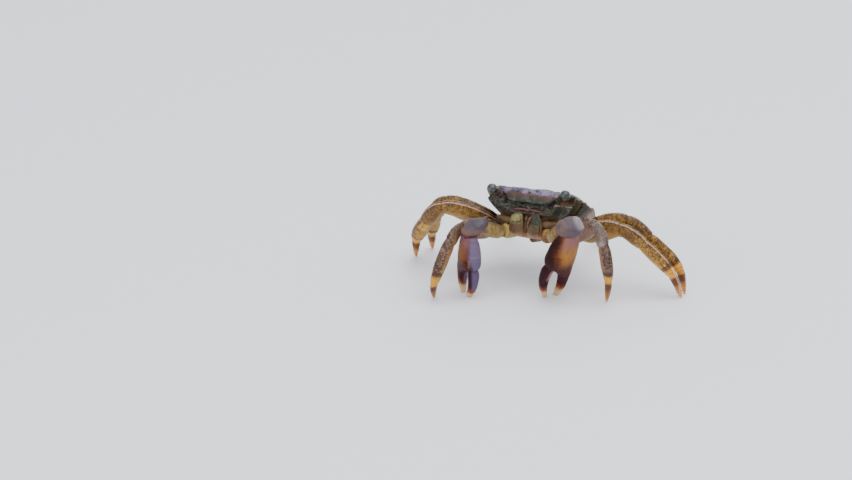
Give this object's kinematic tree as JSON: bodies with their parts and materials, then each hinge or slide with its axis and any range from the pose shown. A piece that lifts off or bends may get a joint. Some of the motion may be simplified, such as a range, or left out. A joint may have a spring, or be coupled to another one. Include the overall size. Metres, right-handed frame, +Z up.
{
  "type": "shore crab",
  "caption": "Life-size shore crab standing on pointed legs, nose raised, both claws planted straight down in front, with a squarish shell and stalked eyes.",
  "frame": {"origin": "middle of the footprint box, at floor level", "axes": "+X towards the crab's own left side, -Y the way it faces, +Z up"},
  "size_m": [0.1056, 0.0768, 0.04],
  "materials": {
    "shell": "satin, marbled dark violet-brown with fine cross lines",
    "underside": "smooth, cream to olive",
    "mouth": "smooth, mottled green-black and cream",
    "leg": "satin, olive with brown mottling",
    "leg_tip": "satin, yellow, maroon and amber bands",
    "claw": "polished, lilac above and ochre below",
    "claw_finger": "polished, maroon with pale tips",
    "eye_stalk": "satin, brown-olive",
    "eye": "wet-looking, grey-green"
  },
  "bodies": {
    "root": {"carapace": "shell", "underside": "underside", "tail_flap": "underside", "left_mouth_plate": "mouth", "left_eye_stalk": "eye_stalk", "left_eye": "eye", "left_feeler": "eye_stalk", "left_claw_arm": "claw", "left_claw_wrist": "claw", "left_claw_palm": "claw", "left_claw_finger": "claw_finger", "right_mouth_plate": "mouth", "right_eye_stalk": "eye_stalk", "right_eye": "eye", "right_feeler": "eye_stalk", "right_claw_arm": "claw", "right_claw_wrist": "claw", "right_claw_palm": "claw", "right_claw_finger": "claw_finger", "left_leg_1_merus": "leg", "left_leg_1_carpus": "leg", "left_leg_1_propodus": "leg", "left_leg_1_dactyl": "leg_tip", "left_leg_2_merus": "leg", "left_leg_2_carpus": "leg", "left_leg_2_propodus": "leg", "left_leg_2_dactyl": "leg_tip", "left_leg_3_merus": "leg", "left_leg_3_carpus": "leg", "left_leg_3_propodus": "leg", "left_leg_3_dactyl": "leg_tip", "left_leg_4_merus": "leg", "left_leg_4_carpus": "leg", "left_leg_4_propodus": "leg", "left_leg_4_dactyl": "leg_tip", "right_leg_1_merus": "leg", "right_leg_1_carpus": "leg", "right_leg_1_propodus": "leg", "right_leg_1_dactyl": "leg_tip", "right_leg_2_merus": "leg", "right_leg_2_carpus": "leg", "right_leg_2_propodus": "leg", "right_leg_2_dactyl": "leg_tip", "right_leg_3_merus": "leg", "right_leg_3_carpus": "leg", "right_leg_3_propodus": "leg", "right_leg_3_dactyl": "leg_tip", "right_leg_4_merus": "leg", "right_leg_4_carpus": "leg", "right_leg_4_propodus": "leg", "right_leg_4_dactyl": "leg_tip"}
  },
  "joints": []
}
